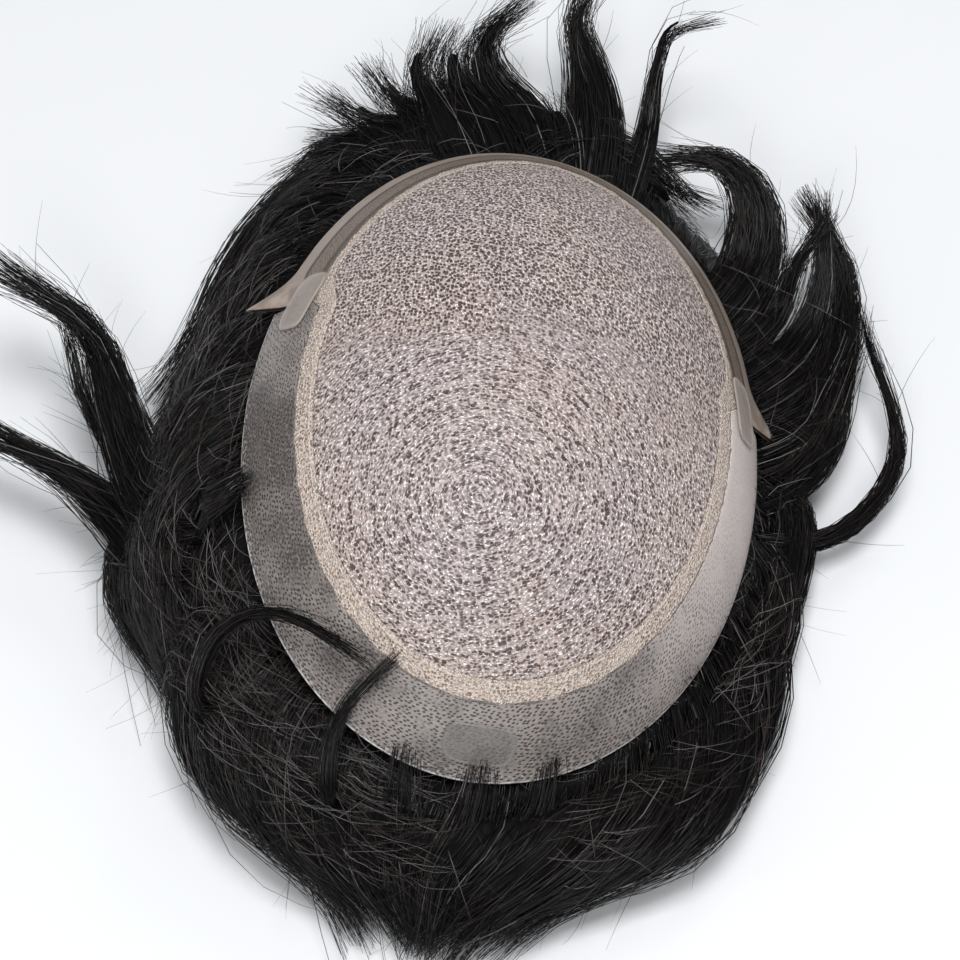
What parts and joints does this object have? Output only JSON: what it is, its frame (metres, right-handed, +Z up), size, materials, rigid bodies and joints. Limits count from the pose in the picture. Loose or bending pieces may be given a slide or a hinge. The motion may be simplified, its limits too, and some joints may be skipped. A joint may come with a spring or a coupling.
{
  "type": "toupee hairpiece",
  "caption": "Hairpiece laid hair down: a domed net base with a bound edge, lace front and film band, over loose dark locks that spread round it.",
  "frame": {"origin": "on the surface that the hair lies on, under the middle of the base", "axes": "+Z up off the surface, +Y towards the front hairline, +X to the wearer's left as the base faces up"},
  "size_m": [0.2206, 0.2698, 0.0672],
  "materials": {
    "net": "fine glossy net over a lining, pinkish taupe",
    "binding": "peach net folded double",
    "film": "thin translucent film with hair knots under it",
    "lace": "fine brown lace with a seam",
    "clear_film": "clear film patch, blank",
    "hair": "off-black hair with a satin shine"
  },
  "bodies": {
    "root": {"net_panel": "net", "edge_binding": "binding", "poly_band": "film", "lace_front": "lace", "join_tab_left": "lace", "join_tab_right": "lace", "size_label": "clear_film", "hair_crown": "hair", "hair_front": "hair", "hair_right": "hair", "hair_back": "hair", "hair_left": "hair"}
  },
  "joints": []
}
